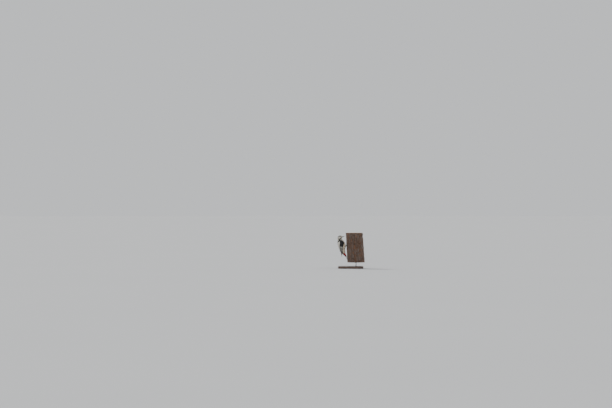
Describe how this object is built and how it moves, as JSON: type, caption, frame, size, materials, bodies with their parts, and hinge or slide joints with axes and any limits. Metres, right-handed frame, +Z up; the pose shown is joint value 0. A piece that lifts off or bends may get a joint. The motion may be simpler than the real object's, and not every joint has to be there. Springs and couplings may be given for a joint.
{
  "type": "great spotted woodpecker on a perch",
  "caption": "Life-size great spotted woodpecker clinging to a short cut length of pine trunk, held up by a flat display base and two rods.",
  "frame": {"origin": "centre of the underside of the display base, on the surface it stands on", "axes": "+Z up; +X the way the bird's back faces, away from the trunk; +Y the bird's right side"},
  "size_m": [0.2137, 0.146, 0.278],
  "materials": {
    "plumage_dark": "glossy blue-black feathers with white bars",
    "plumage_pale": "soft buffish-white body feathers, crimson under the tail",
    "bill": "slate-grey horn, satin, darker along the ridge and tip",
    "eye": "wet, dark crimson-brown iris with a black pupil",
    "leg_skin": "olive-grey scaly skin",
    "claw": "dark horn, satin",
    "bark": "dark reddish-brown flaky pine bark, sawn pale ends",
    "stand_steel": "plain brushed steel rods",
    "stand_wood": "dark stained wood, satin"
  },
  "bodies": {
    "root": {"head": "plumage_dark", "neck": "plumage_dark", "torso": "plumage_pale", "tail": "plumage_dark", "bill_upper": "bill", "bill_lower": "bill", "eye_right": "eye", "eye_left": "eye", "wing_right": "plumage_dark", "wing_left": "plumage_dark", "thigh_right": "plumage_pale", "thigh_left": "plumage_pale", "tarsus_right": "leg_skin", "tarsus_left": "leg_skin", "toe_inner_front_right": "leg_skin", "toe_outer_front_right": "leg_skin", "toe_outer_right": "leg_skin", "toe_hind_right": "leg_skin", "toe_inner_front_left": "leg_skin", "toe_outer_front_left": "leg_skin", "toe_outer_left": "leg_skin", "toe_hind_left": "leg_skin", "claw_inner_front_right": "claw", "claw_outer_front_right": "claw", "claw_outer_right": "claw", "claw_hind_right": "claw", "claw_inner_front_left": "claw", "claw_outer_front_left": "claw", "claw_outer_left": "claw", "claw_hind_left": "claw", "trunk_length": "bark", "stand_rod_1": "stand_steel", "stand_rod_2": "stand_steel", "stand_base": "stand_wood"}
  },
  "joints": []
}
